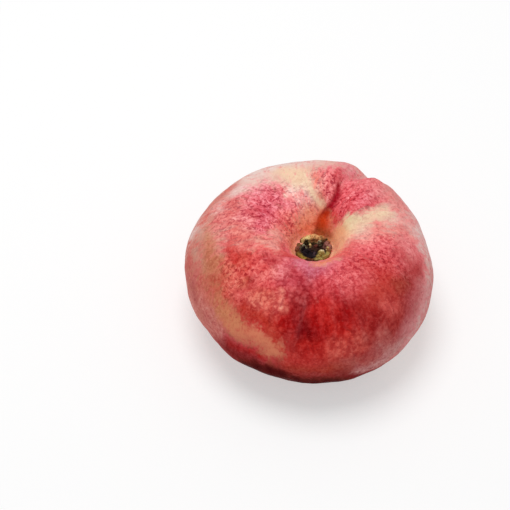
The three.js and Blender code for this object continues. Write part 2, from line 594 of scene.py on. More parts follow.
class Painting:
    """Layers of paint on the points of a piece."""

    def __init__(self, piece, points, place, **layers):
        self.piece = piece
        self.points = points
        self.place = place
        self.strokes = 0
        self.shaky = shifts(points, 4.5 * MM, 1.5 * MM) + shifts(points, 1.6 * MM, 0.6 * MM)
        rows = (len(points), 1)
        self.layers = {name: np.tile(tone_value(tone), rows) for name, tone in layers.items()}

    def stroke(self, route, half_width, edge=0.5, load=1.0, loose=1.0, **tones):
        """Draws a brush along a route and pulls each named layer towards its tone.

        The half width is in millimetres, and the edge is the share of it that fades out. The load
        is how much paint the brush holds, up to 1. A loose hand lets the stroke wander.
        """
        self.strokes += 1
        stops = stops_along(route, self.place)
        distance = distance_to(stops, self.points + loose * self.shaky) / (half_width * MM)
        wet = np.clip((1 + edge - distance) / (2 * edge), 0, 1)
        wet = load * (wet * wet * (3 - 2 * wet))[:, None]
        for name, tone in tones.items():
            self.layers[name] += wet * (tone_value(tone) - self.layers[name])

    def dry(self):
        """Keeps the layers on the piece, as colours or as numbers."""
        for name, layer in self.layers.items():
            if layer.shape[1] == 3:
                keep_layer(self.piece, name, "FLOAT_COLOR", "color", np.insert(layer, 3, 1, axis=1))
            else:
                keep_layer(self.piece, name, "FLOAT", "value", layer)
        print(self.piece.name, "has", self.strokes, "strokes on", ", ".join(self.layers))


# %% Tones of the skin
CREAM = (246, 210, 176)
IVORY = (232, 214, 168)
PALE = (238, 194, 178)
# The whitish tone below is pale skin in places, and along the rims a painted sheen of the down.
WHITISH_SKIN_AND_SHEEN = (244, 222, 214)
HONEY = (252, 188, 142)
APRICOT = (248, 162, 120)
RUST = (160, 30, 6)
TAN = (210, 132, 98)
PEACH = (242, 142, 108)
CORAL = (248, 122, 110)
PALE_PINK = (246, 138, 140)
PINK = (240, 106, 114)
ROSE = (230, 94, 102)
SALMON = (222, 114, 104)
LILAC = (226, 124, 140)
SCARLET = (214, 44, 38)
CRIMSON = (184, 18, 20)
RUSSET = (202, 66, 58)
# The darkest tone is for the lower edge: partly deep red skin, partly painted shade.
DEEP_RED_AND_SHADE = (76, 4, 8)

first_marks = {"worms": 0.4, "streaks": 0.3, "dapples": 0, "clumps": 0.4}
skin = Painting(body, places(body), skin_place, ground=CREAM, blush=PINK, cover=0.85, **first_marks)
print("points to paint:", len(skin.points))


# %% Two ways to paint
def redden(route, half_width, colour, cover=1.1, edge=1.1, load=1, **more):
    """Lays a blush. The cover says how much of the ground it hides: past 1 there are few gaps."""
    skin.stroke(route, half_width, edge, load, blush=colour, cover=cover, **more)


def bare(route, half_width, colour, cover=0, edge=1.1, load=1, **more):
    """Lays a ground colour, and thins the blush over it to the given cover."""
    skin.stroke(route, half_width, edge, load, ground=colour, cover=cover, **more)


print("the brush is ready")

# %% Kinds of marking
SMOOTH = {"worms": 0.05, "streaks": 0.1, "dapples": 0, "clumps": 0.1}
SOFT = {"worms": 0.3, "streaks": 0.2, "dapples": 0, "clumps": 0.3}
MARBLED = {"worms": 1, "streaks": 0, "dapples": 0, "clumps": 0.8}
DAPPLED = {"worms": 0.4, "streaks": 0.4, "dapples": 1, "clumps": 0.7}
STREAKED = {"worms": 0.25, "streaks": 0.7, "dapples": 0.5, "clumps": 0.8}
print("marks on streaked skin:", STREAKED)

# %% Underside and back
ALL_ROUND = range(-180, 181, 30)
redden([(b, -75) for b in ALL_ROUND], 14, SALMON, 0.35, edge=0.9, ground=IVORY)
bare([(b, -135) for b in ALL_ROUND], 8, IVORY, 0.12, edge=0.9)
redden([(60, 15), (110, 10), (150, 15)], 14, SALMON, 0.4, edge=0.9, ground=PALE, **SOFT)
# A whitish band over the right shoulder, towards the rim: partly pale skin, partly painted sheen of the
# down.
redden([(10, 30), (50, 30)], 11, PALE_PINK, 0.55, edge=0.9, ground=WHITISH_SKIN_AND_SHEEN, **SOFT)
print("strokes so far:", skin.strokes)

# %% Left flank
redden([(150, 50), (170, 45), (190, 35), (205, 15)], 8, SALMON, 0.75, edge=0.9, ground=PALE, **SOFT)
redden([(183, 54), (196, 52), (208, 50), (218, 46)], 6, SALMON, 0.2, ground=TAN, **SOFT)
redden([(214, 40), (224, 34), (236, 36)], 5, RUSSET, 0.25, ground=(218, 132, 98), **SOFT)
# Whitish ground at the left rim: partly pale skin, partly painted sheen of the down.
redden([(165, 26), (178, 24), (188, 20)], 4, SALMON, 0.5, edge=1, ground=WHITISH_SKIN_AND_SHEEN, **SMOOTH)
redden([(188, 26), (198, 20), (208, 14)], 4.5, (206, 100, 94), 0.95, edge=1, ground=TAN, **SMOOTH)
redden([(202, 2), (216, 6)], 6, (236, 146, 136), 0.9, edge=1, ground=TAN, **SMOOTH)
redden([(199, 18), (206, 13)], 2, (190, 92, 86), 0.9, load=0.8)
redden([(206, 34), (214, 33)], 3, (214, 104, 88), 0.8, load=0.8, ground=TAN, **SOFT)
bare([(193, 58), (200, 58), (212, 54)], 3, (206, 120, 88), 0.2, load=0.8, **SOFT)
redden([(180, 34), (188, 34)], 3, SALMON, 0.3, load=0.9, ground=(214, 156, 138), **SOFT)
redden([(207, 46), (212, 60)], 1.2, (180, 76, 54), 0.9, edge=1, load=0.8, loose=0.6)
redden([(213, 57), (228, 55)], 2.4, (190, 80, 60), 0.6, load=0.8, loose=0.6, ground=(196, 104, 76))
redden([(222, 50), (228, 46)], 1.6, (188, 70, 50), 0.9, load=0.8, loose=0.6)
redden([(-146, 66), (-138, 58), (-128, 62)], 4, (232, 104, 88), 0.85, edge=1, ground=TAN, **MARBLED)
print("strokes so far:", skin.strokes)

# %% Painted rim light of the down
# The down lights up along the rims of the fruit. That light is painted here, as whitish strokes along the
# rims.
PAINTED_RIM_LIGHT = (252, 224, 214)
RIM_LIGHT_STROKES = [  # route, half width, colour, cover, load
    ([(150, 17), (165, 7), (180, -4), (192, -13), (202, -20)], 2.6, PAINTED_RIM_LIGHT, 0.3, 0.8),
    ([(48, 26), (30, 17), (14, 6)], 2.6, PAINTED_RIM_LIGHT, 0.3, 0.8),
    ([(34, 22), (20, 14), (6, 4), (-6, -7), (-16, -15)], 1.7, (255, 236, 230), 0.1, 0.9),
    ([(-18, -16), (-30, -23), (-45, -30), (-58, -34)], 1.5, (250, 226, 226), 0.3, 0.8),
    ([(122, 33), (138, 28), (152, 20)], 1.8, PAINTED_RIM_LIGHT, 0.3, 0.8),
]
for route, half_width, colour, cover, load in RIM_LIGHT_STROKES:
    bare(route, half_width, colour, cover, 1.2, load, **SMOOTH)
print("strokes so far:", skin.strokes)

# %% Belly
redden([(-122, 74), (-70, 78), (-40, 72)], 7, ROSE, edge=0.9, ground=SALMON, **DAPPLED)
redden([(-100, 42), (-58, 46)], 11, SCARLET, edge=0.7, ground=SALMON, **STREAKED)
redden([(-98, 44), (-88, 42), (-84, 52)], 4.2, CRIMSON, edge=1, load=0.9)
redden([(-76, 56), (-73, 48)], 2.2, (226, 52, 44), load=0.9)
redden([(-82, 37), (-79, 35)], 1.6, CRIMSON, load=0.8)
redden([(-92, 28), (-80, 28)], 2.8, (222, 56, 48), edge=1, load=0.9)
redden([(-68, 62), (-59, 62), (-57, 48)], 4.2, (170, 10, 16), edge=1)
redden([(-88, 70), (-82, 66)], 2, (226, 56, 50), load=0.8)
# The darkest strokes here run down the broad fold on the near side: partly deep red skin, partly painted
# shade in the fold.
redden([(-97, 93), (-94, 74)], 2.1, (166, 38, 44), dapples=0.8)
redden([(-105, 74), (-100, 67)], 2.4, (222, 92, 92), load=0.9, dapples=0.8)
redden([(-97, 64), (-94, 46)], 2.4, (140, 14, 22), load=0.9)
redden([(-103, 62), (-100, 52)], 1.8, (176, 24, 26), load=0.9)
redden([(-121, 59), (-116, 59)], 2.4, (246, 124, 110), 1, dapples=0.8)
redden([(-111, 74), (-108, 60)], 1, (240, 142, 122), 1, edge=1, load=0.7)
redden([(-72, 50), (-67, 36)], 0.6, (150, 16, 18), edge=1, load=0.7)
redden([(-75, 28), (-66, 27)], 3, (246, 104, 90), 1, edge=1)
redden([(-101, 36), (-98, 26)], 2, (184, 26, 22), edge=1)
print("strokes so far:", skin.strokes)

# %% Lower edge, with painted shade
redden([(-98, 6), (-84, 5), (-72, 2)], 3.4, (194, 66, 50), edge=1, **SOFT)
redden([(-97, 20), (-88, 17)], 2.4, (222, 66, 60), load=0.9)
redden([(-70, 8), (-58, 2)], 3, (208, 100, 92), 1, edge=1, **SOFT)
redden([(-147, 18), (-143, 13), (-138, 11)], 2.4, (230, 138, 126), 1, ground=SALMON, **SOFT)
redden([(-126, 6), (-112, 10)], 2, (200, 36, 34), 1, edge=1, streaks=0.4)
# Towards the table the lower edge is painted dark red, down to near black: partly deep red skin, partly
# painted shade where the fruit meets the table.
skin.stroke([(-132, -6), (-112, -6), (-88, -14), (-66, -16)], 8, 0.6, ground=(150, 36, 32))
redden([(-140, -42), (-100, -50), (-60, -42)], 7, (200, 84, 72), 0.8, edge=1.2, ground=TAN)
LOW_SHADE = [(-126, -26), (-108, -31), (-80, -33), (-60, -26)]
redden(LOW_SHADE, 5, (140, 34, 34), 1, edge=1.2, ground=(120, 24, 26))
redden([(-129, -5), (-118, -8), (-104, -9)], 3.4, (146, 34, 32), edge=1, **SOFT)
redden([(-116, -18), (-88, -19), (-72, -17)], 4.2, (130, 26, 28), edge=1, **SOFT)
SHADE_TONGUES = {-120: -12, -114: -6, -108: -3, -102: -5, -95: -10, -88: -12, -81: -13, -75: -16}
for tongue, top in SHADE_TONGUES.items():
    bare([(tongue, top - 2), (tongue + 1, top - 15)], 2.1, DEEP_RED_AND_SHADE, -0.4, edge=1.2, **SMOOTH)
bare([(-132, 28), (-120, 29), (-112, 30), (-108, 25), (-107, 20)], 3.3, PEACH, 0.15, edge=0.9, **SMOOTH)
bare([(-138, 30), (-128, 36)], 2.6, (230, 146, 104), 0.2, **SOFT)
print("strokes so far:", skin.strokes)

# %% Right cheek
redden([(-50, 90), (-30, 90), (-14, 86), (-12, 72)], 7, ROSE, 1.15, edge=0.8, ground=PALE, **MARBLED)
redden([(-22, 100), (-12, 88), (-10, 76)], 3.6, (240, 110, 114), 1, edge=1, worms=0.8, clumps=0.4)
redden([(-38, 84), (-30, 76), (-36, 66)], 3.6, (212, 58, 62), edge=1, load=0.9, worms=1.2)
redden([(10, 100), (10, 90), (9, 78), (10, 64)], 3.2, (246, 142, 134), 0.9, ground=PALE, **SOFT)
redden([(-20, 116), (-8, 114), (2, 104)], 2.6, (248, 152, 142), 0.5, edge=1.2, ground=PALE, worms=0.5)
redden([(-60, 112), (-30, 116)], 4, (222, 92, 94), edge=1, **SOFT)
redden([(-46, 64), (-36, 52), (-32, 40)], 6, RUSSET, 1.2, edge=1, ground=SALMON, **SOFT)
# Towards the right rim the skin turns whitish in these strokes: partly pale skin, partly painted sheen of
# the down.
redden([(22, 64), (18, 52)], 3.4, (254, 180, 170), 0.5, ground=WHITISH_SKIN_AND_SHEEN, **SOFT)
redden([(-10, 58), (-14, 48), (-20, 34)], 3.6, (208, 84, 84), 1, ground=SALMON, **SOFT)
redden([(-58, 84), (-52, 84)], 3, (242, 110, 112), load=0.8, dapples=0.6)
redden([(-24, 58), (-26, 54)], 2, (214, 74, 76), 1, load=0.9, worms=0.8)
redden([(-24, 48), (-28, 44), (-32, 36)], 2.6, (170, 56, 52), 1, edge=1, ground=TAN, worms=0.8)
redden([(-15, 44), (-20, 38), (-28, 36)], 2.2, (190, 68, 68), 1, ground=SALMON, **SOFT)
redden([(2, 62), (-4, 58)], 2.4, (240, 134, 134), 0.9, load=0.9, ground=PALE, **SOFT)
redden([(20, 44), (8, 34)], 3.2, PALE_PINK, 0.4, ground=WHITISH_SKIN_AND_SHEEN, **SMOOTH)
redden([(2, 32), (-4, 26), (-12, 18)], 3, (234, 128, 128), 0.55, ground=(242, 204, 196), **SMOOTH)
redden([(-33, 56), (-30, 48)], 1.5, (176, 70, 54), 0.9, edge=1, load=0.8, ground=TAN, worms=0.6)
print("strokes so far:", skin.strokes)

# %% Lower right
redden([(-54, 28), (-40, 28)], 6, (186, 56, 52), edge=0.9, ground=SALMON, worms=0.3, streaks=0.5)
redden([(-30, 34), (-34, 24), (-38, 14)], 3, (200, 92, 94), 1, edge=1, ground=SALMON, **SOFT)
# A whitish patch at the lower right rim: partly pale skin, partly painted sheen of the down.
redden([(-18, 18), (-28, 8), (-40, -2)], 4.4, (240, 156, 156), 0.75, ground=WHITISH_SKIN_AND_SHEEN, **SMOOTH)
redden([(-56, 14), (-47, 2)], 3, (204, 108, 104), 1, edge=1, **SOFT)
redden([(-46, 2), (-54, -4), (-64, -5)], 2, (224, 156, 152), 0.9, **SOFT)
redden([(-46, 50), (-42, 42)], 1.8, (232, 102, 94), 1, load=0.9, streaks=0.6)
redden([(-54, 34), (-57, 24)], 1.2, (224, 112, 104), 1, edge=1, load=0.8, **SOFT)
print("strokes so far:", skin.strokes)

# %% Upper left patch
redden([(116, 82), (134, 80), (150, 82), (166, 84), (178, 88)], 6.4, (246, 138, 146), 1, edge=1, **MARBLED)
redden([(118, 70), (140, 62)], 3, (246, 150, 156), 0.8, ground=PALE, worms=0.7)
redden([(118, 86), (114, 94)], 1.8, (246, 144, 144), 0.8, load=0.8, worms=0.9)
redden([(136, 88), (150, 94), (164, 96)], 3.8, (232, 104, 116), worms=1.2)
redden([(150, 96), (158, 94)], 1.8, (212, 84, 100), edge=1, load=0.8)
redden([(158, 63), (170, 67), (180, 71), (190, 74)], 3.8, (230, 116, 112), 0.9, ground=PALE, worms=0.7)
redden([(140, 48), (142, 52)], 2.4, (246, 200, 200), 0.6, ground=WHITISH_SKIN_AND_SHEEN, worms=0.3)
redden([(154, 47), (160, 54)], 2, (238, 146, 140), 0.65, edge=1.2, load=0.9, ground=WHITISH_SKIN_AND_SHEEN, worms=0.5)
redden([(157, 64), (160, 68)], 1.8, (222, 106, 104), 1, load=0.8, worms=0.8)
redden([(178, 78), (188, 86)], 2.4, (214, 100, 96), 1, load=0.9, worms=0.8)
redden([(162, 86), (166, 88)], 1.8, (222, 92, 98), load=0.9, worms=1)
redden([(110, 92), (107, 104), (104, 114)], 2.8, (252, 164, 156), 0.45, edge=1, ground=WHITISH_SKIN_AND_SHEEN, worms=0.7)
redden([(126, 104), (124, 110)], 2.2, (240, 124, 132), 1, load=0.8, worms=0.9)
redden([(172, 80), (178, 82)], 2.2, (250, 150, 148), 1, load=0.8, worms=0.7)
print("strokes so far:", skin.strokes)

# %% Beside the seam
redden([(36, 92), (46, 96), (58, 96)], 4.6, (240, 104, 112), edge=0.9, ground=PALE, **MARBLED)
redden([(38, 86), (44, 90)], 2.4, (222, 80, 92), load=0.9, worms=1.1)
redden([(58, 86), (56, 92), (54, 98)], 1.8, (250, 130, 134), load=0.9, worms=1)
redden([(38, 103), (50, 108)], 2.2, (226, 84, 92), edge=1, worms=1.1)
redden([(60, 72), (50, 70), (42, 70)], 4, (240, 122, 128), 1, edge=1, worms=0.7)
redden([(46, 58), (36, 60), (28, 62)], 4.5, (242, 142, 138), 0.85, ground=PALE, **SOFT)
redden([(86, 82), (84, 92), (82, 102), (84, 108)], 3, (240, 116, 120), 0.9, ground=PALE, **MARBLED)
redden([(77, 82), (77, 92), (76, 103)], 1.6, (250, 132, 132), 1, **MARBLED)
redden([(80, 72), (70, 70), (56, 68)], 2.2, (240, 124, 132), 0.95, load=0.8, **SOFT)
redden([(74, 82), (72, 78)], 1.6, (222, 88, 94), load=0.9, **MARBLED)
redden([(93, 88), (91, 96)], 1.8, (244, 136, 116), 0.6, edge=1.2, load=0.9, ground=PALE)
redden([(84, 103), (81, 108)], 1.2, (214, 96, 80), 0.6, edge=1.2, load=0.8, ground=(226, 130, 104))
redden([(90, 64), (80, 60), (70, 60)], 3, (238, 142, 148), 0.75, edge=1, ground=PALE, **SOFT)
print("strokes so far:", skin.strokes)

# %% Ground that shows
bare([(92, 60), (112, 58), (132, 46)], 6, PALE, 0.15, edge=1, **SMOOTH)
# The whitish band at the back rim is partly pale skin, partly painted sheen of the down.
bare([(98, 46), (126, 42)], 4.5, WHITISH_SKIN_AND_SHEEN, 0.3, edge=1.3, **SMOOTH)
redden([(142, 38), (150, 37), (158, 32)], 2.8, SALMON, 0.45, ground=(214, 140, 130), worms=0.3)
bare([(112, 66), (106, 76)], 3, CREAM, 0.1, edge=1, **SMOOTH)
bare([(106, 80), (103, 89), (97, 98), (88, 107), (80, 113)], 1.3, CREAM, worms=0.2, clumps=0)
bare([(14, 118), (16, 110), (19, 100), (22, 88), (24, 78)], 2.4, CREAM, 0.05, worms=0.2, clumps=0)
bare([(24, 116), (26, 108)], 1.6, IVORY, load=0.9, **SMOOTH)
print("strokes so far:", skin.strokes)

# %% Cavity
bare([(b, 134) for b in ALL_ROUND], 2.4, APRICOT, 0.05, edge=0.9, worms=0.1)
bare([(-6, 124), (20, 126), (44, 124)], 3, HONEY, edge=0.9, **SMOOTH)
redden([(-40, 122), (-26, 126)], 3, CORAL, 0.9, edge=1, worms=0.1)
bare([(-10, 126), (-18, 134)], 2.4, (252, 196, 158), 0.1, load=0.9, **SMOOTH)
redden([(112, 124), (140, 122), (176, 120)], 3.2, CORAL, 1, edge=0.9, **MARBLED)
redden([(178, 118), (190, 116), (206, 112)], 2.2, (246, 132, 128), 0.8, ground=PALE, worms=0.4)
redden([(82, 124), (94, 123), (106, 126)], 2.6, CORAL, 0.1, ground=(244, 116, 70), **SOFT)
redden([(102, 115), (108, 121)], 1.8, CORAL, 0.3, edge=1.2, ground=(252, 160, 126), worms=0.6)
redden([(160, 130), (172, 128)], 2, (250, 146, 132), 0.5, load=0.9, ground=(250, 158, 128))
bare([(50, 127), (62, 126)], 1.8, (222, 124, 100), edge=1, worms=0.3)
# A brown-orange strip at the foot of the wall behind the scar: partly skin colour, partly painted shade of
# the scar.
bare([(70, 135), (80, 135)], 1.3, (206, 104, 50), edge=1, worms=0.3)
redden([(48, 117), (62, 115)], 1.8, (214, 62, 62), 0.9, edge=1, worms=0.9)
print("strokes so far:", skin.strokes)

# %% Crease, with painted shade
CREASE = [(73, 117), (69, 110), (67, 101), (68, 94), (70, 88)]
# A dark red line is painted along the crease: partly red skin, partly painted shade in the crease.
redden(CREASE, 0.9, (170, 10, 34), 1.2, edge=0.9, loose=0.3, worms=0.5, clumps=0)
# Near the scar the crease and the foot of the wall are painted rust and brown: partly skin colour, partly
# painted shade of the scar.
redden([(75, 127), (73, 119), (71, 114)], 1.1, RUST, 0.2, edge=1, loose=0.3, ground=(172, 30, 4), worms=0.4)
redden([(80, 124), (64, 125)], 1.8, RUST, 0.2, 1.2, 0.8, loose=0.8, ground=(222, 72, 26), worms=0.5)
bare([(76, 133), (50, 133)], 1.4, (168, 88, 42), 0.1, load=0.8, loose=0.5, worms=0.2)
print("strokes so far:", skin.strokes)

# %% Folds and blots
redden([(-118, 108), (-100, 109), (-84, 110)], 4.2, LILAC, edge=0.9, worms=0.35, streaks=0.1)
redden([(-112, 94), (-104, 90)], 3, (204, 70, 80), 1, edge=1)
redden([(-89, 105), (-88, 99)], 1.8, (196, 88, 106), load=0.7)
redden([(-150, 100), (-144, 84), (-132, 80)], 4, (234, 92, 88), 1, edge=1, ground=PEACH, **MARBLED)
redden([(-150, 76), (-142, 74)], 2.2, (216, 64, 58), 1, edge=1, ground=PEACH, worms=1.2)
# Along the pressed folds, thin dark red lines are painted: partly red skin, partly painted shade in the
# grooves.
redden([(-128, 112), (-137, 99), (-141, 88)], 1.2, (188, 38, 44), edge=1, loose=0.6, worms=0.4)
redden([(-144, 82), (-151, 70)], 1, (200, 44, 44), edge=1, loose=0.6, worms=0.5)
redden([(-124, 104), (-128, 96)], 1.4, (236, 112, 118), edge=1, loose=0.6, worms=0.4)
redden([(-129, 78), (-134, 58)], 0.8, (188, 42, 46), edge=1, load=0.8, loose=0.6, worms=0.4)
redden([(-128, 90), (-123, 87)], 1.9, (248, 138, 134), 1, edge=1, worms=0.5)
redden([(-124, 62), (-120, 64)], 2.2, (238, 122, 102), 1, load=0.9, worms=0.3)
redden([(-162, 75), (-152, 74)], 2, (208, 44, 38), edge=1, worms=0.6)
redden([(-137, 65), (-134, 69)], 1, CRIMSON, 1, edge=1)
redden([(-138, 63), (-136, 61)], 1.3, (238, 118, 96), 0.9, load=0.8, worms=0.6)
redden([(-149, 74), (-146, 73)], 1.3, (232, 104, 92), 0.9, load=0.8, worms=0.8)
redden([(-126, 47), (-114, 49)], 1.8, (200, 52, 38), edge=1)
redden([(-110, 42), (-108, 38)], 1.6, (214, 78, 62), 1, load=0.8)
bare([(-78, 114), (-66, 113)], 2.6, PEACH, 0.2, edge=0.9, worms=0.2)
bare([(-174, 112), (-160, 102), (-156, 90)], 2, (246, 168, 154), 0.3, worms=0.5, clumps=0.4)
bare([(-152, 106), (-148, 102)], 1.6, (250, 176, 166), 0.3, worms=0.4, clumps=0.4)
redden([(-148, 93), (-142, 94), (-138, 98)], 1.6, (242, 120, 118), 1, load=0.8, worms=0.6)
redden([(-137, 91), (-132, 94)], 2, (200, 60, 66), 1, load=0.9, worms=0.7)
redden([(-138, 114), (-130, 118)], 1.6, (222, 84, 80), 1, load=0.8, worms=0.5)
redden([(-142, 83), (-139, 81)], 1.5, (240, 110, 106), 1, load=0.8, worms=0.7)
redden([(-131, 74), (-127, 76)], 1.8, (244, 120, 114), 1, load=0.8, worms=0.7)
redden([(-121, 93), (-119, 91)], 1.4, (246, 134, 138), 1, load=0.8, worms=0.6)
redden([(-115, 86), (-112, 82)], 1.6, (208, 76, 84), 1, load=0.8, worms=0.6)
redden([(-162, 82), (-176, 76)], 2.2, (232, 116, 108), 0.9, ground=PALE, worms=0.5)
print("strokes so far:", skin.strokes)

# %% Far side
FAR_SIDE = [(-20, -38), (0, -24), (30, -3), (60, 10), (90, 14), (120, 10), (150, -3), (180, -24), (195, -36)]
redden(FAR_SIDE, 5.5, (240, 122, 116), 0.7, edge=0.7, ground=(250, 208, 168), worms=0.5, clumps=0.8)
FAR_FOOT = [(0, -50), (40, -34), (90, -26), (140, -34), (180, -50)]
redden(FAR_FOOT, 5, CORAL, 0.55, edge=1, worms=0.4, clumps=0.8)
FLAMES = [  # route and half width
    ([(100, 16), (104, -6), (106, -24)], 2.8),
    ([(122, 8), (128, -16)], 2.2),
    ([(83, 10), (85, -16)], 2),
    ([(18, -12), (26, -34)], 3),
    ([(42, 2), (44, -22)], 2.4),
    ([(154, -8), (160, -32)], 2.6),
    ([(176, -24), (186, -42)], 2.8),
]
for route, half_width in FLAMES:
    redden(route, half_width, (222, 82, 82), 0.95, edge=1.3, load=0.8, worms=0.8)
for route in ([(68, -8), (72, -34)], [(139, 2), (144, -22)]):
    bare(route, 2.2, (250, 214, 168), 0.25, edge=1.3, load=0.8, worms=0.2)
redden([(60, 24), (58, 0), (58, -22)], 0.8, (196, 66, 72), 0.95, edge=1.2, load=0.8, loose=0.4)
print("strokes so far:", skin.strokes)

# %% Blossom end paint
bare([(0, -142.5)], 1.9, (150, 110, 60), edge=0.8)
bare([(0, -142.5)], 0.6, (60, 38, 22), edge=0.6, loose=0.2)
skin.dry()

# %% [markdown]
# ## Directions on the skin
# Fine markings on the belly run from the stem to the blossom end, so their noise is stretched that
# way. Straight coordinates can't do that on a ring, so others are kept on the points: two numbers
# go round the fruit, and the third is the way along the section.

# %% Flow
radius, bearing, tilt = section(skin.points)
flow_rows = [
    CHEEK_RADIUS * np.cos(np.radians(bearing)),
    CHEEK_RADIUS * np.sin(np.radians(bearing)),
    RING_HEIGHT * np.radians(tilt),
]
keep_layer(body, "flow", "FLOAT_VECTOR", "vector", np.stack(flow_rows, axis=1))
print("way along the section in mm:", round(float(np.ptp(flow_rows[2])) / MM, 1))

# %% [markdown]
# ## Velvet skin
# Close up, the blush is made of short dark strokes and pale islands between them, like marbled
# paper, and the down on the skin softens everything and catches light at the edges. The finest
# marks follow the fine relief, so part of their light and dark is painted light and painted shade.

# %% Noises of the skin
velvet = Finish("velvet_peach_skin")
here = velvet.here()
flow = velvet.attribute("flow", "Vector")
fine_strokes = velvet.noise(velvet.scale(flow, (1.0, 1.0, 0.6)), 1.6 * MM, 3, 0.6, 1.0)
broad_strokes = velvet.noise(velvet.scale(flow, (1.0, 1.0, 0.4)), 2.2 * MM, 2, 0.5, 0.4)
clump_noise = velvet.noise(velvet.scale(flow, (1.0, 1.0, 0.6)), 4 * MM, 3, 0.6, 0.6)
marks = velvet.noise(here, 1.05 * MM, 2, 0.5, 1.0)
blots = velvet.noise(here, 5 * MM, 4, 0.6, 0.4)
grain = velvet.noise(here, 0.9 * MM, 3, 0.7)
warp = velvet.node("TexNoise", {}, {"Vector": here, "Scale": 1 / (1.5 * MM)}, "Color")
warped = velvet.scale(warp, (1.6 * MM,) * 3, here)
drops = velvet.node("TexVoronoi", {}, {"Vector": warped, "Scale": 1 / (1.3 * MM)})
print("nodes for the noises:", len(velvet.tree.nodes))

# %% Marks in the blush
MARKINGS = ("worms", "streaks", "dapples", "clumps", "cover")
worms, streaks, dapples, clumps, cover = (velvet.attribute(name) for name in MARKINGS)
ground = velvet.attribute("ground", "Color")
blush = velvet.attribute("blush", "Color")

deep_blush = velvet.scale(blush, (0.90, 0.55, 0.60))
pale_blush = velvet.scale(blush, (1.08, 1.4, 1.35), (0.02, 0.02, 0.02))
blush = velvet.mix(velvet.fade(clump_noise, 0.5, 0.34) * clumps, blush, deep_blush)
blush = velvet.mix(velvet.fade(clump_noise, 0.52, 0.68) * clumps, blush, pale_blush)
patchy = cover + (blots - 0.5) * 0.7 + (fine_strokes - 0.5) * 1.3
patchy = patchy + (broad_strokes - 0.5) * 0.7 + (marks - 0.5) * 0.9
covered = velvet.fade(patchy, 0.05, 0.95)
colour = velvet.mix(covered, ground, blush)

dark = velvet.scale(colour, (0.56, 0.20, 0.30))
light = velvet.scale(colour, (1.15, 1.65, 1.6), (0.03, 0.025, 0.025))
# The worm marks and the grain share their noise with the bump: besides the skin's own marks, they are partly
# painted light on the tiny ridges of the down and painted shade between them. The pale flecks in the dapples
# are partly painted highlights.
for marking, low, high, share, tone in (
    (broad_strokes, 0.5, 0.34, streaks * 0.8, dark),
    (broad_strokes, 0.5, 0.68, streaks * 0.7, light),
    (drops, 0.42, 0.7, dapples * 0.8, dark),
    (drops, 0.48, 0.15, velvet.fade(grain, 0.35, 0.6) * dapples, light),
    (fine_strokes, 0.48, 0.34, worms * 0.5, dark),
    (marks, 0.47, 0.35, worms, dark),
    (marks, 0.52, 0.64, worms, light),
    (grain, 0.54, 0.68, 0.1 + covered * 0.45, light),
    (grain, 0.46, 0.32, 0.1 + covered * 0.4, dark),
):
    colour = velvet.mix(velvet.fade(marking, low, high) * share, colour, tone)
print("nodes with the marks:", len(velvet.tree.nodes))

# %% Down on the skin
velvet.give("Base Color", colour)
velvet.give("Roughness", 0.6 + grain * 0.35)
velvet.bump(grain * 0.4 + marks * 0.8, 0.6, 0.25 * MM)
velvet.give("Specular IOR Level", 0.02)
velvet.give("Sheen Weight", 0.4)
velvet.give("Sheen Roughness", 0.12)
velvet.give("Sheen Tint", (1.0, 0.88, 0.86, 1))
velvet.wear(body)
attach(body, "root")
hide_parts("fruit")
print("nodes in the skin:", len(velvet.tree.nodes))

# %% [markdown]
# ## Stem scar
# When the fruit was twisted off, the end of the twig tore out and left a scar: a shallow bowl of
# dry tissue with lumps, holes and frayed fibres. It starts as a disc whose middle is sunk by
# insets. Lumps are set on it one by one, and a voxel remesh grows them all together like wax.

# %% Bed of the scar
SCAR_RADIUS = 4.7 * MM
BED_TOP = 0.8 * MM  # above the floor of the cavity
BED_ROOT = 1.6 * MM  # below it, in the socket
RIM_WIDTH = 0.9 * MM  # of each of the two steps from the edge down to the bowl
BOWL_DEPTH = 0.6 * MM


def scar_place(bearing, distance, height=0):
    """A place on the scar: a bearing in degrees, and a distance and a height in millimetres."""
    turn = math.radians(bearing)
    return core + MM * Vector((distance * math.cos(turn), distance * math.sin(turn), height))


bpy.ops.object.select_all(action="DESELECT")
bed_middle = core + Vector((0, 0, (BED_TOP - BED_ROOT) / 2))
bpy.ops.mesh.primitive_cylinder_add(
    vertices=40, radius=SCAR_RADIUS, depth=BED_TOP + BED_ROOT, location=bed_middle
)
scar = bpy.context.active_object
scar.name = "torn_stem_scar"
bpy.ops.object.transform_apply(location=True)
edit_only(scar, "polygons", [face.normal.z > 0.5 for face in scar.data.polygons])
bpy.ops.mesh.inset(thickness=RIM_WIDTH)
bpy.ops.mesh.inset(thickness=RIM_WIDTH)
bpy.ops.transform.translate(value=(0, 0, -BOWL_DEPTH))
bpy.ops.object.mode_set(mode="OBJECT")
print("bed of the scar:", len(scar.data.polygons), "faces")

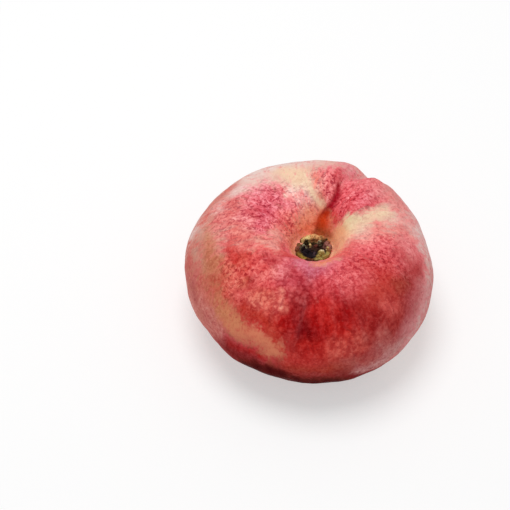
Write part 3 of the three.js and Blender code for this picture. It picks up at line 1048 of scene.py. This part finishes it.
# %% Lumps of the scar
LUMPS = [  # bearing, distance, length, width, height, turn of the length, height of the middle
    (108, 3.5, 2.6, 1.9, 1.8, 5, 1.0),
    (88, 3.5, 2.4, 1.8, 1.8, 175, 1.1),
    (128, 3.4, 1.8, 1.4, 2.0, 50, 0.9),
    (54, 2.8, 1.1, 0.9, 1.3, 30, 0.8),
    (38, 4.8, 2.2, 1.0, 1.4, 128, 0.6),
    (62, 4.5, 1.7, 1.0, 1.3, 150, 0.6),
    (22, 3.7, 1.8, 1.4, 1.7, 100, 0.9),
    (10, 4.5, 1.4, 1.2, 1.4, 90, 0.7),
    (0, 3.8, 0.7, 0.6, 1.0, 0, 1.0),
    (-38, 2.7, 2.1, 1.9, 2.0, 60, 0.9),
    (-43, 4.1, 1.9, 1.3, 1.5, 47, 0.6),
    (-63, 3.0, 1.4, 1.1, 1.4, 20, 0.6),
    (-96, 4.0, 2.6, 0.9, 1.0, 0, 0.5),
    (-70, 4.3, 1.8, 0.9, 1.0, 15, 0.5),
    (223, 4.4, 1.9, 1.2, 1.4, 135, 0.6),
    (208, 4.7, 1.6, 1.1, 1.3, 120, 0.5),
    (247, 4.3, 1.6, 0.9, 1.0, 157, 0.5),
    (186, 4.4, 1.7, 1.2, 1.6, 95, 0.7),
    (171, 2.7, 1.2, 0.9, 1.4, 80, 0.8),
    (187, 3.2, 0.9, 0.7, 1.2, 20, 0.7),
    (136, 1.5, 0.9, 0.6, 1.3, 20, 0.6),
    (219, 2.5, 1.2, 0.8, 1.0, 140, 0.2),
    (280, 1.4, 1.2, 0.8, 0.8, 40, 0.1),
    (60, 1.3, 1.3, 0.8, 1.1, 30, 0.4),
]
pieces = [scar]
for lump_bearing, distance, length, width, height, turn, lift in LUMPS:
    bpy.ops.object.select_all(action="DESELECT")
    bpy.ops.mesh.primitive_ico_sphere_add(
        subdivisions=2,
        radius=MM / 2,
        location=scar_place(lump_bearing, distance, lift),
        rotation=(0, 0, math.radians(turn)),
        scale=(length, width, height),
    )
    pieces.append(bpy.context.active_object)
join(pieces)
modify(scar, "REMESH", mode="VOXEL", voxel_size=0.11 * MM)
print("lumps on the scar:", len(LUMPS), "and faces:", len(scar.data.polygons))

# %% Crevices of the scar
CREVICES = [  # route of bearings and distances, depth and reach in mm
    ([(43, 4.6), (31, 1.9)], 0.7, 0.6),
    ([(228, 1.5)], 1.0, 1.4),
    ([(152, 3.4), (120, 2.2), (90, 2.2), (60, 2.0)], 0.6, 0.5),
    ([(200, 3.7), (228, 3.3), (262, 3.1)], 0.5, 0.6),
    ([(-12, 5.0), (-15, 3.0)], 0.8, 0.7),
    ([(0, 2.8), (-30, 1.3)], 0.5, 0.6),
    ([(150, 4.8), (148, 3.8)], 1.2, 0.8),
]
CREVICE_HALF_WIDTH = 0.15 * MM
CREVICE_FLOOR = core.z - 0.2 * MM  # nothing below this height is pushed down


def flattened(points):
    """The same points with no height, to measure distances as seen from above."""
    return points * [1, 1, 0]


for route, depth, reach in CREVICES:
    stops = flattened(stops_along(route, scar_place))
    points = places(scar)
    on_line = distance_to(stops, flattened(points)) < CREVICE_HALF_WIDTH
    edit_only(scar, "vertices", on_line & (points[:, 2] > CREVICE_FLOOR))
    bpy.ops.transform.translate(value=(0, 0, -depth * MM), proportional_size=reach * MM, **SOFTLY)
    bpy.ops.object.mode_set(mode="OBJECT")
lumpy(scar, 0.9 * MM, 0.5 * MM, detail=2)
lumpy(scar, 0.3 * MM, 0.22 * MM)
bpy.ops.object.shade_smooth()
print("crevices in the scar:", len(CREVICES))

# %% [markdown]
# ## Torn fibres
# Wood vessels stick out of the torn tissue as short stiff hairs. One is modelled as a thin cone
# that is bent, and the fibres are copies of it, turned and scaled by a seeded draw.

# %% Torn fibres
FIBRES = 34
FIBRE_SPREAD = 4.3  # how far from the core they stand, in mm
bpy.ops.object.select_all(action="DESELECT")
bpy.ops.mesh.primitive_cone_add(vertices=6, radius1=0.09, radius2=0.03, depth=1, location=(0, 0, 0.5))
fibre = bpy.context.active_object
bpy.ops.object.transform_apply(location=True)
heights = places(fibre)[:, 2]
upright = np.array([np.ptp(heights[list(edge.vertices)]) > 0.5 for edge in fibre.data.edges])
edit_only(fibre, "edges", upright)
bpy.ops.mesh.subdivide_edgering(number_cuts=4)
bpy.ops.object.mode_set(mode="OBJECT")
modify(fibre, "SIMPLE_DEFORM", deform_method="BEND", deform_axis="X", angle=math.radians(50))
fibre_template = fibre.data
bpy.data.objects.remove(fibre)

copies = []
for number in range(FIBRES):
    copy = bpy.data.objects.new(f"fibre_{number}", fibre_template.copy())
    bpy.context.scene.collection.objects.link(copy)
    place_bearing = rng.uniform(0, 360)
    place_distance = FIBRE_SPREAD * math.sqrt(rng.uniform(0.05, 1))
    copy.location = scar_place(place_bearing, place_distance, rng.uniform(0.5, 0.9))
    copy.rotation_euler = (rng.uniform(-1.1, 1.1), rng.uniform(-1.1, 1.1), rng.uniform(0, 6.3))
    copy.scale = (rng.uniform(0.5, 1.3) * MM,) * 3
    copies.append(copy)
join(copies)
fibres = copies[0]
fibres.name = "torn_fibres"
bpy.ops.object.shade_smooth()
print("faces of the fibres:", len(fibres.data.polygons))

# %% [markdown]
# ## Colours of the scar
# Dry tissue is tan and olive where it is old, mauve where sap has dried on it, and almost black in
# the hole where the vessels went into the stone; that black is partly painted shade in the hole.
# The crevices are painted dark as painted shade, and a few pale and greyish marks on lumps are
# partly painted highlights. It is painted in strokes too, seen from above.

# %% Scar paint
def above_scar(bearing, distance):
    """A place on the scar with no height, as seen from above."""
    place = scar_place(bearing, distance)
    return Vector((place.x, place.y, 0))


SHELF = (232, 178, 118)
STRAW = (236, 216, 146)
OLIVE = (166, 152, 84)
GOLD = (150, 130, 52)
BARK = (120, 78, 40)
MAUVE = (160, 108, 98)
ASH = (160, 158, 124)
RIND = (196, 128, 78)
UMBER = (54, 28, 14)
# The near black below is for the hole in the middle: dark tissue and painted shade.
HOLE_BLACK_AND_SHADE = (24, 9, 20)

SCAR_STROKES = [  # route of bearings and distances, half width in mm, edge, tone
    ([(b, 4.6) for b in ALL_ROUND], 1.1, 0.5, BARK),
    ([(78, 3.7), (108, 3.7), (128, 3.5)], 1.1, 0.4, SHELF),
    ([(126, 3.2), (138, 3.5)], 0.7, 0.5, STRAW),
    ([(30, 5.0), (58, 4.9)], 0.7, 0.5, RIND),
    ([(56, 2.8)], 0.6, 0.5, ASH),
    ([(26, 3.7), (8, 4.2)], 0.9, 0.5, MAUVE),
    ([(0, 3.8)], 0.4, 0.5, STRAW),
    ([(186, 4.5)], 0.9, 0.5, (140, 86, 70)),
    ([(206, 4.7), (214, 4.6)], 0.7, 0.5, (126, 92, 44)),
    ([(218, 4.4), (236, 4.3)], 0.7, 0.5, GOLD),
    ([(250, 4.5), (285, 4.5)], 0.6, 0.5, (80, 34, 16)),
    ([(-70, 3.4), (-50, 4.0), (-30, 3.9)], 0.9, 0.5, OLIVE),
    ([(-38, 2.7)], 1.0, 0.4, OLIVE),
    # A pale yellow top on the big olive lump: pale tissue, partly a painted highlight.
    ([(-30, 2.5), (-24, 2.9)], 0.5, 0.6, (236, 228, 180)),
    ([(171, 2.7), (187, 3.2)], 0.6, 0.5, ASH),
    ([(136, 1.5)], 0.4, 0.5, STRAW),
    ([(60, 1.4)], 0.6, 0.6, (110, 58, 46)),
    # The next two dark lines follow the carved crevices: painted shade in them.
    ([(43, 4.6), (31, 1.9)], 0.35, 0.6, UMBER),
    ([(152, 3.4), (120, 2.2), (90, 2.2), (60, 2.0)], 0.35, 0.6, (50, 36, 10)),
    # The hole in the middle: dark tissue and painted shade.
    ([(200, 2.6), (228, 1.6), (262, 1.6)], 1.3, 0.4, HOLE_BLACK_AND_SHADE),
    # A greyish lilac sheen painted on a small lump in the hole.
    ([(280, 1.4)], 0.4, 0.8, (96, 74, 84)),
]
for piece in (scar, fibres):
    wood = Painting(piece, flattened(places(piece)), above_scar, tone=UMBER)
    for route, half_width, edge, tone in SCAR_STROKES:
        wood.stroke(route, half_width, edge, loose=0.2, tone=tone)
    wood.dry()

# %% Dry wood finish
torn = Finish("dry_torn_wood")
wood_here = torn.here()
fine = torn.noise(wood_here, 0.35 * MM, detail=4, roughness=0.7, distortion=0.4)
flecks = torn.noise(wood_here, 0.9 * MM, detail=3, roughness=0.6)
tone = torn.attribute("tone", "Color")
# The tone is darkened where the fine relief and the flecks sink, and paled where the relief stands up. Both
# follow the heights of the bump: painted shade and painted light of that relief.
shade = torn.scale(tone, (0.3, 0.24, 0.2))
lit_tops = torn.scale(tone, (1.3, 1.3, 1.25), (0.04, 0.035, 0.025))
wood_colour = torn.mix(torn.fade(fine, 0.52, 0.34), tone, shade)
wood_colour = torn.mix(torn.fade(fine, 0.55, 0.72) * 0.7, wood_colour, lit_tops)
wood_colour = torn.mix(torn.fade(flecks, 0.45, 0.3) * 0.6, wood_colour, shade)
torn.give("Base Color", wood_colour)
torn.give("Roughness", 0.7 + fine * 0.3)
torn.bump(fine + flecks * 0.6, 0.7, 0.12 * MM)
torn.give("Specular IOR Level", 0.2)
for piece in (scar, fibres):
    torn.wear(piece)
    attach(piece, "root")
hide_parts("stem_remnant")
print("nodes in the wood:", len(torn.tree.nodes))
